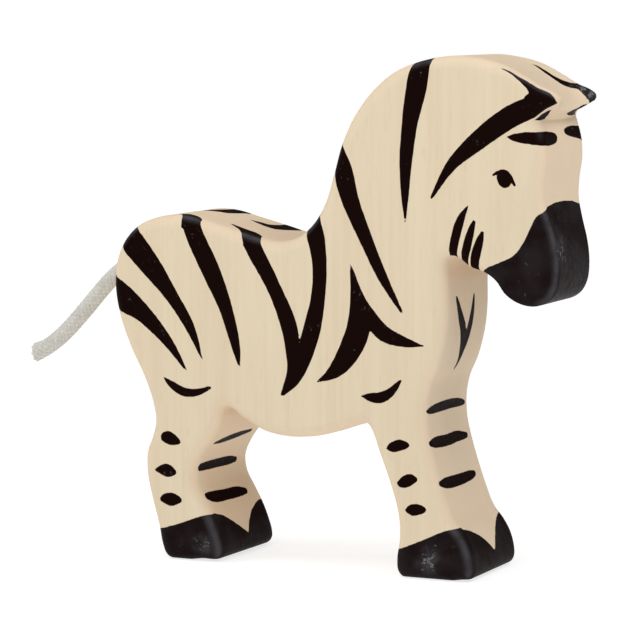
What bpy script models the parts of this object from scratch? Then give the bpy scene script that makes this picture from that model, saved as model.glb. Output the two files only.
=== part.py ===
"""Toy zebra: one sawn and sanded board, with a tail of cotton cord in a drilled hole.

Metres. +X is where the animal looks, +Y its left, +Z up. The origin is on the ground,
under the middle of the body.
"""
import math

import bmesh
import bpy
from mathutils import Vector
from mathutils.geometry import delaunay_2d_cdt, interpolate_bezier

# Driving dimensions of the body, in metres
HEIGHT = 0.148
BOARD_THICKNESS = 0.036
EDGE_RADIUS = 0.0035
MUZZLE_TAPER = 0.003      # what each side of the muzzle loses at its front
FORELOCK_DROP = 0.0028    # how far the forelock lies below the ears, at their tips
FORELOCK_SETBACK = 0.003  # how far its lip lies behind the ears' tips
EAR_WIDTH = 0.0037        # what the hollow of the forelock leaves for each ear
HOLLOW_POWER = 3          # how flat the hollow is in its middle
REAR_LEG_SKEW = 0.0014    # how far the left rear hoof stands ahead of the right one
FRONT_LEG_SKEW = 0.0005   # the same for the front hooves

# Driving dimensions of the tail, in metres
TAIL_DIAMETER = 0.005
SOCKET_DEPTH = 0.012
TOUCH_GAP = 0.0003

# Fineness of the facets
OUTLINE_STEP = 0.0036
OUTLINE_TURN = math.radians(15)
EDGE_SEGMENTS = 4
CLOSEST = OUTLINE_STEP / 4
FILL_STEP = 0.007
FILL_SHIFT = 0.5          # of every other row of points on the flat, in steps
FILL_MARGIN = 1.5 * EDGE_RADIUS
HOLLOW_COLUMNS = 10
CURVE_SAMPLES = 16
TAIL_STEP = 12            # samples of the tail's curve from one point to the next
SOCKET_SIDES = 24
TAIL_BEVEL = 3
SMOOTH_ANGLE = math.radians(40)

# The outline is drawn in millimetres for a figure 147.5 mm tall, as (x, z), clockwise
# seen from the right flank, and is scaled to HEIGHT. A smooth curve runs through its
# points, and the ground cuts the soles flat.
DRAWN_HEIGHT = 147.5
UNIT = HEIGHT / DRAWN_HEIGHT

REAR_LEG_BACK = [
    (-50.6, -0.2), (-52.6, 1.2), (-53.8, 4.0), (-55.0, 9.9), (-57.2, 17.8),
    (-58.7, 25.0), (-58.5, 31.6), (-56.8, 36.0), (-55.8, 40.2), (-56.6, 45.6),
    (-59.2, 52.7), (-63.6, 61.4), (-67.2, 70.5),
]
RUMP = [(-68.8, 79.0), (-68.4, 86.0), (-65.8, 92.7), (-61.6, 97.2), (-56.2, 99.7)]
BACK = [
    (-49.0, 101.0), (-43.5, 100.7), (-36.0, 98.8), (-27.0, 96.5), (-20.5, 94.8),
    (-15.5, 94.3), (-11.0, 95.2), (-7.0, 97.8),
]
MANE = [
    (-4.0, 101.2), (-1.2, 106.4), (1.1, 113.8), (3.7, 122.6), (7.6, 130.6),
    (13.0, 137.5), (19.6, 142.8), (27.4, 145.9),
]
CROWN = [(38.2, 147.5), (45.6, 146.8), (52.5, 145.0), (58.5, 142.0)]
EAR = [
    (63.4, 139.2), (66.8, 137.8), (68.5, 136.4), (68.4, 134.9), (66.4, 134.0),
    (64.0, 132.7), (62.6, 130.8), (63.1, 128.6),
]
FACE = [(64.3, 124.0), (64.6, 118.6), (63.8, 112.6), (63.9, 107.6)]
MUZZLE = [
    (65.3, 102.4), (67.1, 96.0), (67.9, 89.4), (67.2, 83.5), (65.0, 80.1),
    (60.7, 78.3), (56.3, 79.1), (52.6, 81.6), (50.0, 85.2), (46.8, 87.5),
]
THROAT = [(42.6, 88.9), (39.4, 91.1), (37.3, 91.8), (36.3, 91.0)]
CHEST = [(36.1, 84.0), (36.1, 75.0), (35.3, 68.0), (33.2, 60.2), (30.9, 54.9)]
FRONT_LEG_FRONT = [
    (29.8, 49.0), (30.0, 43.0), (31.3, 36.6), (33.2, 29.8), (35.7, 22.4),
    (38.0, 17.2), (40.9, 13.6), (43.0, 10.0), (44.3, 5.4), (44.3, 2.6),
]
FRONT_SOLE = [(43.3, 1.0), (40.2, 0.4), (36.0, -0.2), (29.5, -0.6), (23.0, -0.2)]
FRONT_LEG_BACK = [
    (21.1, 1.6), (20.7, 5.4), (21.5, 11.0), (21.1, 18.0), (18.6, 26.6),
    (15.2, 35.6), (12.7, 42.0),
]
BELLY = [
    (11.6, 43.2), (9.8, 42.9), (3.0, 40.6), (-5.0, 38.6), (-13.0, 38.1),
    (-20.5, 39.3), (-27.0, 42.5), (-31.6, 45.5),
]
REAR_LEG_FRONT = [
    (-33.0, 45.6), (-34.0, 42.4), (-36.4, 37.0), (-40.2, 31.9), (-42.6, 27.0),
    (-42.2, 22.6), (-39.5, 17.6), (-37.0, 13.0), (-34.8, 7.6), (-33.9, 4.2),
    (-34.1, 2.2),
]
REAR_SOLE = [(-35.4, 0.9), (-41.0, 0.5), (-46.0, -0.2), (-48.4, -0.4)]
OUTLINE = (
    REAR_LEG_BACK + RUMP + BACK + MANE + CROWN + EAR + FACE + MUZZLE + THROAT + CHEST
    + FRONT_LEG_FRONT + FRONT_SOLE + FRONT_LEG_BACK + BELLY + REAR_LEG_FRONT + REAR_SOLE
)

# Where the muzzle's taper, the hollow between the ears, the setback of its lip and the
# legs' skew start and end, drawn like the outline: first where there is none of it,
# then where it is whole.
TAPER_ALONG = (46.0, 68.0)
TAPER_DOWN = (114.0, 98.0)
HOLLOW_ALONG = (40.0, 66.0)
HOLLOW_UP = (128.0, 134.5)
LIP_ALONG = (62.0, 68.5)
SKEW_DOWN = (46.0, 22.0)

# The tail's route after the socket's mouth, drawn like the outline, at Y = 0.
SOCKET_HEIGHT = 84.6
TAIL_ROUTE = [
    (-71.6, 84.4), (-75.0, 82.7), (-78.6, 79.7), (-82.1, 76.1), (-85.6, 72.2),
    (-89.3, 68.2), (-93.1, 64.3), (-97.0, 60.9), (-100.8, 58.3), (-104.3, 56.7),
]

WOOD = ("pale wood", (0.74, 0.62, 0.42, 1.0), 0.55)
COTTON = ("braided cotton", (0.62, 0.60, 0.53, 1.0), 0.9)


def clear_scene():
    for old in list(bpy.data.objects):
        bpy.data.objects.remove(old, do_unlink=True)


def collection(name):
    made = bpy.data.collections.new(name)
    bpy.context.scene.collection.children.link(made)
    return made


def material(name, color, roughness):
    made = bpy.data.materials.new(name)
    made.use_nodes = True
    shader = made.node_tree.nodes["Principled BSDF"]
    shader.inputs["Base Color"].default_value = color
    shader.inputs["Roughness"].default_value = roughness
    return made


def smoothstep(start, end, value):
    share = min(max((value - start) / (end - start), 0.0), 1.0)
    return share * share * (3.0 - 2.0 * share)


def directions(points, closed):
    """The way a smooth curve runs through each point."""
    ways = []
    last = len(points) - 1
    for i, point in enumerate(points):
        before = points[i - 1] if i > 0 or closed else point
        after = points[(i + 1) % len(points)] if i < last or closed else point
        ways.append(((point - before).normalized() + (after - point).normalized()).normalized())
    return ways


def smooth_curve(points, closed):
    """Close points along a smooth curve through all the points."""
    ways = directions(points, closed)
    close = []
    for i in range(len(points) if closed else len(points) - 1):
        k = (i + 1) % len(points)
        reach = (points[k] - points[i]).length / 3
        handles = (points[i] + reach * ways[i], points[k] - reach * ways[k])
        close += interpolate_bezier(points[i], *handles, points[k], CURVE_SAMPLES)[:-1]
    return close if closed else close + [points[-1]]


def after_each(row):
    """The closed row once more, each item in the place of the one before it."""
    return row[1:] + row[:1]


def before_each(row):
    """The closed row once more, each item in the place of the one after it."""
    return row[-1:] + row[:-1]


def thin_out(close):
    """The points of a close loop that a faceted outline needs: more of them in bends."""
    kept = []
    gone = OUTLINE_STEP
    turned = 0.0
    for before, point, after in zip(before_each(close), close, after_each(close)):
        gone += (point - before).length
        turned += abs((point - before).angle_signed(after - point, 0.0))
        if gone > OUTLINE_STEP or turned > OUTLINE_TURN:
            kept.append(point)
            gone = turned = 0.0
    return kept


def board_outline():
    """The outline at its real size, and the x of its middle, which goes to X = 0."""
    close = smooth_curve([Vector(point) * UNIT for point in OUTLINE], True)
    close = [Vector((point.x, max(point.y, 0.0))) for point in close]
    loop = thin_out(close)
    middle = (min(point.x for point in loop) + max(point.x for point in loop)) / 2
    return [point - Vector((middle, 0.0)) for point in loop], middle


def segment_distance(point, start, end):
    along = end - start
    share = min(max((point - start).dot(along) / along.dot(along), 0.0), 1.0)
    return (point - start - share * along).length


def edge_distance(loop, point):
    """How far a point is from the outline."""
    return min(segment_distance(point, *ends) for ends in zip(loop, after_each(loop)))


def is_inside(loop, point):
    crossings = 0
    for start, end in zip(loop, after_each(loop)):
        if (start.y > point.y) != (end.y > point.y):
            share = (point.y - start.y) / (end.y - start.y)
            crossings += start.x + share * (end.x - start.x) > point.x
    return crossings % 2 == 1


def ring(loop, inset):
    """Points at one inset from the outline, without those that a tip leaves no room for."""
    least_room = inset * math.cos(OUTLINE_TURN)
    points = []
    for before, point, after in zip(before_each(loop), loop, after_each(loop)):
        along = (after - before).normalized()
        inner = point + inset * Vector((along.y, -along.x))
        crowded = points and (points[-1] - inner).length < CLOSEST
        if not crowded and is_inside(loop, inner) and edge_distance(loop, inner) > least_room:
            points.append(inner)
    return points


def loose_grid(loop):
    """Points spread over the flat of the side, which the muzzle's taper bends."""
    low = Vector((min(point.x for point in loop), min(point.y for point in loop)))
    high = Vector((max(point.x for point in loop), max(point.y for point in loop)))
    columns = int((high.x - low.x) / FILL_STEP) + 1
    rows = int((high.y - low.y) / FILL_STEP) + 1
    points = []
    for i in range(columns):
        for k in range(rows):
            point = low + FILL_STEP * Vector((i + FILL_SHIFT * (k % 2), k))
            if is_inside(loop, point) and edge_distance(loop, point) > FILL_MARGIN:
                points.append(point)
    return points


def half_thickness(inset):
    """Half the board's thickness at an inset from its outline: a quarter round, then flat."""
    short = EDGE_RADIUS - min(inset, EDGE_RADIUS)
    return BOARD_THICKNESS / 2 - EDGE_RADIUS + math.sqrt(EDGE_RADIUS ** 2 - short ** 2)


def shaped(x, y, z, middle):
    """A point of the plain board, moved for the muzzle, the forelock and the legs."""
    drawn_x = (x + middle) / UNIT
    drawn_z = z / UNIT
    taper = MUZZLE_TAPER * smoothstep(*TAPER_ALONG, drawn_x) * smoothstep(*TAPER_DOWN, drawn_z)
    across = min(abs(y) / (BOARD_THICKNESS / 2 - EAR_WIDTH), 1.0)
    hollow = (1.0 - across ** HOLLOW_POWER) * smoothstep(*HOLLOW_UP, drawn_z)
    drop = FORELOCK_DROP * hollow * smoothstep(*HOLLOW_ALONG, drawn_x)
    setback = FORELOCK_SETBACK * hollow * smoothstep(*LIP_ALONG, drawn_x)
    skew = FRONT_LEG_SKEW if x > 0.0 else REAR_LEG_SKEW
    skew *= (y / BOARD_THICKNESS + 0.5) * smoothstep(*SKEW_DOWN, drawn_z)
    return (x - setback + skew, y * (1.0 - taper / (BOARD_THICKNESS / 2)), z - drop)


def side_facets(loop):
    """The board's side as flat points, the outline's own first, and triangles."""
    points = list(loop)
    for k in range(1, EDGE_SEGMENTS + 1):
        points += ring(loop, EDGE_RADIUS * (1.0 - math.cos(math.pi / 2 * k / EDGE_SEGMENTS)))
    points += loose_grid(loop)
    count = len(loop)
    border = [(i, (i + 1) % count) for i in range(count)]
    inside_only = 1
    merge = 1e-7
    result = delaunay_2d_cdt(points, border, [list(range(count))], inside_only, merge)
    return result[0], result[2]


def add_side(mesh, loop, middle, hand):
    """One side with its rounded edge, and its row of points along the outline."""
    points, triangles = side_facets(loop)
    verts = []
    for i, point in enumerate(points):
        inset = 0.0 if i < len(loop) else edge_distance(loop, point)
        y = hand * half_thickness(inset)
        verts.append(mesh.verts.new(shaped(point.x, y, point.y, middle)))
    for triangle in triangles:
        mesh.faces.new([verts[i] for i in triangle])
    return verts[:len(loop)]


def rung(mesh, point, middle, left, right):
    """The points across the board's edge, more of them where the forelock is hollow."""
    between = []
    if point.x + middle > HOLLOW_ALONG[0] * UNIT and point.y > HOLLOW_UP[0] * UNIT:
        for k in range(1, HOLLOW_COLUMNS):
            y = half_thickness(0.0) * (1.0 - 2.0 * k / HOLLOW_COLUMNS)
            between.append(mesh.verts.new(shaped(point.x, y, point.y, middle)))
    return [left] + between + [right]


def add_edge(mesh, loop, middle, left_row, right_row):
    """The board's edge, all the way round between its two sides."""
    rungs = [
        rung(mesh, point, middle, left, right)
        for point, left, right in zip(loop, left_row, right_row)
    ]
    for one, other in zip(rungs, after_each(rungs)):
        if len(one) == len(other):
            for k in range(len(one) - 1):
                mesh.faces.new((one[k], one[k + 1], other[k + 1], other[k]))
        else:
            mesh.faces.new(one + other[::-1])


def build_body(parts, cutters, loop, middle):
    mesh = bmesh.new()
    left_row = add_side(mesh, loop, middle, 1)
    right_row = add_side(mesh, loop, middle, -1)
    add_edge(mesh, loop, middle, left_row, right_row)
    bmesh.ops.recalc_face_normals(mesh, faces=mesh.faces)
    data = bpy.data.meshes.new("body")
    mesh.to_mesh(data)
    mesh.free()
    data.shade_smooth()
    data.set_sharp_from_angle(angle=SMOOTH_ANGLE)
    data.materials.append(material(*WOOD))
    body = bpy.data.objects.new("body", data)
    parts.objects.link(body)
    cut_socket(body, cutters, min(point.x for point in loop))


def cut_socket(body, cutters, rump):
    """The blind hole in the rump that the tail is glued into."""
    bpy.ops.mesh.primitive_cylinder_add(
        vertices=SOCKET_SIDES,
        radius=TAIL_DIAMETER / 2 + TOUCH_GAP,
        depth=2 * SOCKET_DEPTH,
        location=(rump, 0.0, SOCKET_HEIGHT * UNIT),
        rotation=(0.0, math.pi / 2, 0.0),
    )
    cutter = bpy.context.object
    cutter.name = "tail socket cutter"
    cutter.hide_render = True
    cutter.display_type = "WIRE"
    for old in cutter.users_collection:
        old.objects.unlink(cutter)
    cutters.objects.link(cutter)
    cut = body.modifiers.new("tail socket", "BOOLEAN")
    cut.operation = "DIFFERENCE"
    cut.solver = "EXACT"
    cut.object = cutter


def build_tail(parts, rump, middle):
    """The cord: straight out of its socket, then bending down under its own weight."""
    height = SOCKET_HEIGHT * UNIT
    seat = Vector((rump + SOCKET_DEPTH - TOUCH_GAP, 0.0, height))
    mouth = Vector((rump, 0.0, height))
    free = [Vector((x * UNIT - middle, 0.0, z * UNIT)) for x, z in TAIL_ROUTE]
    close = smooth_curve([seat, mouth] + free, False)
    data = bpy.data.curves.new("tail", "CURVE")
    data.dimensions = "3D"
    data.bevel_depth = TAIL_DIAMETER / 2
    data.bevel_resolution = TAIL_BEVEL
    data.use_fill_caps = True
    spline = data.splines.new("POLY")
    kept = close[:-1:TAIL_STEP] + close[-1:]
    spline.points.add(len(kept) - 1)
    for place, point in zip(spline.points, kept):
        place.co = (*point, 1.0)
    tail = bpy.data.objects.new("tail", data)
    data.materials.append(material(*COTTON))
    parts.objects.link(tail)


def main():
    clear_scene()
    parts = collection("zebra figurine")
    cutters = collection("cutters")
    loop, middle = board_outline()
    build_body(parts, cutters, loop, middle)
    build_tail(parts, min(point.x for point in loop), middle)


main()
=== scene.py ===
import math
import random

import bmesh
import bpy
import numpy as np
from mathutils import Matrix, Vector
from mathutils.geometry import delaunay_2d_cdt, interpolate_bezier


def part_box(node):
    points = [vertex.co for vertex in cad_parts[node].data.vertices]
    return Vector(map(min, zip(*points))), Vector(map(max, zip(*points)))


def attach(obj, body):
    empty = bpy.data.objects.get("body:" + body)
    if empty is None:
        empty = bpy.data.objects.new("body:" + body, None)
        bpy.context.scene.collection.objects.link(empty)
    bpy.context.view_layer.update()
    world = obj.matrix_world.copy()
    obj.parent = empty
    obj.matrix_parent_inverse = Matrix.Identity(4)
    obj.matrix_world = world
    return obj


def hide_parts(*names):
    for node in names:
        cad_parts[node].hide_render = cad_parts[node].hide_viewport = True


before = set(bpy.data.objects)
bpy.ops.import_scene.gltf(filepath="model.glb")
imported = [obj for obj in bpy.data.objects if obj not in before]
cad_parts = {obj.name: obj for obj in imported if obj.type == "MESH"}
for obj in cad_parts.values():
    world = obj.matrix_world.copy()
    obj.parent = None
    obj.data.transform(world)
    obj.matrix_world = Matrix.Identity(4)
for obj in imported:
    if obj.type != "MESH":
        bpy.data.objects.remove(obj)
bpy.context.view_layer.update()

# The body's shape is part.py's own, repeated, with much finer facets. It is worked out in
# the drawn millimetres of its outline, (x, z), and scaled and centred at the end.
DRAWN_HEIGHT = 147.5
UNIT = 0.148 / DRAWN_HEIGHT
HALF = 0.018 / UNIT                # half the board's thickness
ROUND = 0.0035 / UNIT              # radius of its rounded edges
WALL = HALF - ROUND                # |y| where the edge's flat part ends
MUZZLE_TAPER = 0.003 / UNIT
FORELOCK_DROP = 0.0028 / UNIT
FORELOCK_SETBACK = 0.003 / UNIT
EAR_WIDTH = 0.0037 / UNIT
HOLLOW_POWER = 3
REAR_LEG_SKEW = 0.0014 / UNIT
FRONT_LEG_SKEW = 0.0005 / UNIT
TAPER_ALONG = (46.0, 68.0)
TAPER_DOWN = (114.0, 98.0)
HOLLOW_ALONG = (40.0, 66.0)
HOLLOW_UP = (128.0, 134.5)
LIP_ALONG = (62.0, 68.5)
SKEW_DOWN = (46.0, 22.0)

REAR_LEG_BACK = [
    (-50.6, -0.2), (-52.6, 1.2), (-53.8, 4.0), (-55.0, 9.9), (-57.2, 17.8),
    (-58.7, 25.0), (-58.5, 31.6), (-56.8, 36.0), (-55.8, 40.2), (-56.6, 45.6),
    (-59.2, 52.7), (-63.6, 61.4), (-67.2, 70.5),
]
RUMP = [(-68.8, 79.0), (-68.4, 86.0), (-65.8, 92.7), (-61.6, 97.2), (-56.2, 99.7)]
BACK = [
    (-49.0, 101.0), (-43.5, 100.7), (-36.0, 98.8), (-27.0, 96.5), (-20.5, 94.8),
    (-15.5, 94.3), (-11.0, 95.2), (-7.0, 97.8),
]
MANE = [
    (-4.0, 101.2), (-1.2, 106.4), (1.1, 113.8), (3.7, 122.6), (7.6, 130.6),
    (13.0, 137.5), (19.6, 142.8), (27.4, 145.9),
]
CROWN = [(38.2, 147.5), (45.6, 146.8), (52.5, 145.0), (58.5, 142.0)]
EAR = [
    (63.4, 139.2), (66.8, 137.8), (68.5, 136.4), (68.4, 134.9), (66.4, 134.0),
    (64.0, 132.7), (62.6, 130.8), (63.1, 128.6),
]
FACE = [(64.3, 124.0), (64.6, 118.6), (63.8, 112.6), (63.9, 107.6)]
MUZZLE = [
    (65.3, 102.4), (67.1, 96.0), (67.9, 89.4), (67.2, 83.5), (65.0, 80.1),
    (60.7, 78.3), (56.3, 79.1), (52.6, 81.6), (50.0, 85.2), (46.8, 87.5),
]
THROAT = [(42.6, 88.9), (39.4, 91.1), (37.3, 91.8), (36.3, 91.0)]
CHEST = [(36.1, 84.0), (36.1, 75.0), (35.3, 68.0), (33.2, 60.2), (30.9, 54.9)]
FRONT_LEG_FRONT = [
    (29.8, 49.0), (30.0, 43.0), (31.3, 36.6), (33.2, 29.8), (35.7, 22.4),
    (38.0, 17.2), (40.9, 13.6), (43.0, 10.0), (44.3, 5.4), (44.3, 2.6),
]
FRONT_SOLE = [(43.3, 1.0), (40.2, 0.4), (36.0, -0.2), (29.5, -0.6), (23.0, -0.2)]
FRONT_LEG_BACK = [
    (21.1, 1.6), (20.7, 5.4), (21.5, 11.0), (21.1, 18.0), (18.6, 26.6),
    (15.2, 35.6), (12.7, 42.0),
]
BELLY = [
    (11.6, 43.2), (9.8, 42.9), (3.0, 40.6), (-5.0, 38.6), (-13.0, 38.1),
    (-20.5, 39.3), (-27.0, 42.5), (-31.6, 45.5),
]
REAR_LEG_FRONT = [
    (-33.0, 45.6), (-34.0, 42.4), (-36.4, 37.0), (-40.2, 31.9), (-42.6, 27.0),
    (-42.2, 22.6), (-39.5, 17.6), (-37.0, 13.0), (-34.8, 7.6), (-33.9, 4.2),
    (-34.1, 2.2),
]
REAR_SOLE = [(-35.4, 0.9), (-41.0, 0.5), (-46.0, -0.2), (-48.4, -0.4)]
OUTLINE = (
    REAR_LEG_BACK + RUMP + BACK + MANE + CROWN + EAR + FACE + MUZZLE + THROAT + CHEST
    + FRONT_LEG_FRONT + FRONT_SOLE + FRONT_LEG_BACK + BELLY + REAR_LEG_FRONT + REAR_SOLE
)

# The tail's socket and its cord's route, as in part.py
SOCKET_HEIGHT = 84.6
TAIL_ROUTE = [
    (-71.6, 84.4), (-75.0, 82.7), (-78.6, 79.7), (-82.1, 76.1), (-85.6, 72.2),
    (-89.3, 68.2), (-93.1, 64.3), (-97.0, 60.9), (-100.8, 58.3), (-104.3, 56.7),
]
SOCKET_DEPTH = 0.012
TAIL_DIAMETER = 0.005
TOUCH_GAP = 0.0003

# Fineness of the facets, in drawn millimetres
OUTLINE_STEP = 0.75
OUTLINE_TURN = math.radians(6)
EDGE_SEGMENTS = 7
# Lowest and highest (x, z) where the edge is finer: the ears' thin lines and the cheek's
FINE = [((48.0, 126.0), (80.0, 150.0)), ((37.0, 86.0), (48.0, 97.0))]
FINE_STEP = 0.4
FINE_SEGMENTS = 14
CLOSEST = 0.18             # least distance of two points at one inset
LEAST_ROOM = 0.985         # of an inset, between one of its points and the outline
FILL_STEP = 0.8
FILL_ROOM = FILL_STEP / 3  # between the rounded edge and the flat's first points
ROW_HEIGHT = math.sin(math.pi / 3)  # of a step, between rows of those points
ROW_SHIFT = 0.5            # of a step, for every other row
# Where they are closer together, at the eye and the cheek: (centre, reach)
DETAILS = [((53.4, 113.6), 4.5), ((40.0, 98.0), 5.5), ((44.0, 93.0), 5.5)]
DETAIL_STEP = 0.45
WALL_COLUMNS = 42
CURVE_SAMPLES = 20         # from one given point of a smooth curve to the next
STROKE_SAMPLES = 24
BORDER_SAMPLES = 8
SOCKET_SIDES = 48
SMOOTH_ANGLE = math.radians(50)
MERGE_GAP = 1e-5           # between points that become one
INSIDE_ONLY = 1            # the triangulation keeps what is inside its border
CHUNK = 1500               # points that are measured at once

# Brush strokes on both sides: (x, z, half width) along each. Past the board's flat, x and z
# go on as if its rounded edge were rolled out flat, except for the cheek's.
SIDE_STROKES = {
    "tail stripe": [
        (-44.6, 55.9, 0.3), (-49.0, 62.2, 1.3), (-54.1, 67.9, 2.1), (-59.9, 73.0, 2.9),
        (-66.5, 76.9, 4.3), (-72.0, 79.5, 4.8),
    ],
    "rump stripe": [
        (-39.3, 59.1, 0.2), (-43.4, 68.8, 1.5), (-49.3, 77.6, 2.1), (-55.9, 85.9, 3.3),
        (-61.5, 92.2, 3.8), (-66.0, 97.0, 3.6),
    ],
    "hip stripe": [
        (-27.4, 57.5, 0.2), (-28.5, 63.1, 1.3), (-31.7, 74.3, 2.1), (-36.4, 85.0, 2.9),
        (-41.6, 95.2, 2.85), (-43.1, 98.8, 2.6),
    ],
    "saddle stripe": [
        (-14.1, 50.4, 0.4), (-11.3, 57.5, 1.1), (-10.7, 63.0, 2.1), (-11.6, 69.5, 2.5),
        (-16.3, 80.7, 2.2), (-22.6, 91.6, 2.5), (-23.9, 93.8, 2.4),
    ],
    "withers stripe": [
        (-13.5, 50.4, 0.3), (-9.7, 55.4, 1.6), (-5.3, 67.3, 2.7), (-2.6, 79.7, 2.2),
        (-2.4, 90.0, 2.3), (-4.3, 98.5, 2.9), (-7.5, 103.5, 2.9),
    ],
    "mane stripe": [
        (23.1, 75.5, 0.4), (17.2, 85.3, 1.5), (12.2, 95.6, 2.0), (7.5, 106.1, 2.6),
        (3.9, 116.9, 3.2), (0.5, 122.0, 3.0),
    ],
    "shoulder stripe, rear": [
        (7.2, 89.0, 0.1), (8.8, 82.0, 1.5), (10.1, 74.6, 3.2), (9.5, 69.6, 3.6),
        (4.9, 60.7, 2.8), (1.4, 57.2, 1.6), (-2.8, 54.8, 0.2),
    ],
    "shoulder stripe, front": [
        (7.8, 88.2, 0.1), (10.8, 80.1, 0.5), (14.6, 72.5, 2.1), (17.4, 69.6, 2.3),
        (23.5, 67.4, 1.5), (29.7, 66.4, 0.2),
    ],
    "neck stripe": [
        (24.0, 101.1, 0.2), (23.9, 108.0, 1.1), (24.1, 117.8, 1.9), (25.3, 128.9, 2.4),
        (27.3, 139.0, 3.1), (28.3, 145.4, 2.9), (28.8, 150.0, 2.9),
    ],
    "ear stripe": [
        (31.8, 108.0, 0.4), (37.8, 117.2, 1.6), (46.0, 124.5, 2.7), (55.0, 130.8, 3.1),
        (61.0, 133.5, 3.0), (64.4, 134.6, 2.9), (65.9, 134.8, 2.4),
    ],
    "first cheek stroke": [
        (42.6, 105.9, 0.3), (40.6, 102.2, 1.15), (39.1, 97.3, 1.35), (37.9, 91.6, 1.2),
    ],
    "second cheek stroke": [
        (44.6, 101.8, 0.5), (43.8, 99.5, 0.95), (42.8, 96.0, 1.25), (41.3, 89.6, 1.15),
    ],
    "third cheek stroke": [
        (47.1, 99.0, 0.4), (46.3, 96.5, 1.1), (45.4, 93.5, 1.35), (44.2, 87.6, 1.3),
    ],
    "hind crescent": [
        (-52.1, 53.8, 0.1), (-49.5, 51.7, 1.0), (-45.1, 49.6, 1.3), (-40.9, 49.8, 1.0),
        (-37.0, 51.3, 0.5),
    ],
    "fore crescent": [
        (10.4, 51.5, 0.1), (13.9, 51.1, 1.3), (16.6, 51.2, 1.55), (19.8, 53.0, 1.2),
        (22.8, 56.4, 0.4),
    ],
    "eye": [(53.2, 114.2, 2.0), (53.6, 113.3, 2.0)],
    "eyelid": [
        (50.2, 114.8, 0.35), (51.8, 115.7, 0.45), (53.6, 115.9, 0.5), (55.2, 114.5, 0.5),
        (56.4, 112.2, 0.4),
    ],
}
# Strokes across what faces forward: (y, z, half width), with where they are in x
FRONT_STROKES = {
    "upper foreleg bar": ((20, 50), [
        (-15.0, 47.6, 0.6), (-12.5, 47.7, 1.1), (-4.0, 47.9, 1.45), (4.0, 47.8, 1.4),
        (10.5, 47.3, 1.1), (13.2, 47.0, 0.7),
    ]),
    "middle foreleg bar": ((20, 50), [
        (-15.2, 38.5, 0.8), (-12.5, 38.5, 1.4), (-3.0, 38.1, 1.6), (5.0, 38.2, 1.5),
        (9.5, 37.85, 1.1), (12.0, 37.7, 0.7),
    ]),
    "lower foreleg bar": ((20, 50), [
        (-15.2, 27.3, 0.8), (-12.5, 27.1, 1.4), (-4.0, 26.8, 1.6), (3.0, 26.8, 1.45),
        (7.5, 26.9, 1.2), (10.0, 27.0, 0.7),
    ]),
    "upper hind leg bar": ((-50, -25), [
        (-12.2, 34.3, 0.4), (-7.0, 34.6, 0.9), (0.0, 35.0, 1.05), (10.5, 35.4, 0.5),
    ]),
    "middle hind leg bar": ((-50, -25), [
        (-13.6, 27.1, 1.15), (-11.0, 27.1, 1.3), (-2.0, 27.0, 1.4), (5.0, 26.8, 1.3),
        (9.0, 26.5, 0.8),
    ]),
    "lower hind leg bar": ((-50, -25), [
        (-14.0, 18.7, 0.9), (-11.0, 18.2, 1.5), (-3.0, 17.8, 1.5), (5.0, 17.6, 1.4),
        (9.0, 17.3, 0.8),
    ]),
    "chest fork, right": ((25, 50), [
        (-9.2, 79.4, 0.7), (-6.6, 75.0, 1.5), (-2.8, 69.8, 2.0), (-0.5, 64.5, 2.0),
        (-0.5, 61.5, 1.1), (-1.8, 58.0, 0.2),
    ]),
    "chest fork, left": ((25, 50), [
        (4.2, 79.2, 0.6), (3.3, 75.0, 1.3), (2.0, 70.0, 1.8), (0.5, 65.0, 1.6),
    ]),
}
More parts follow.
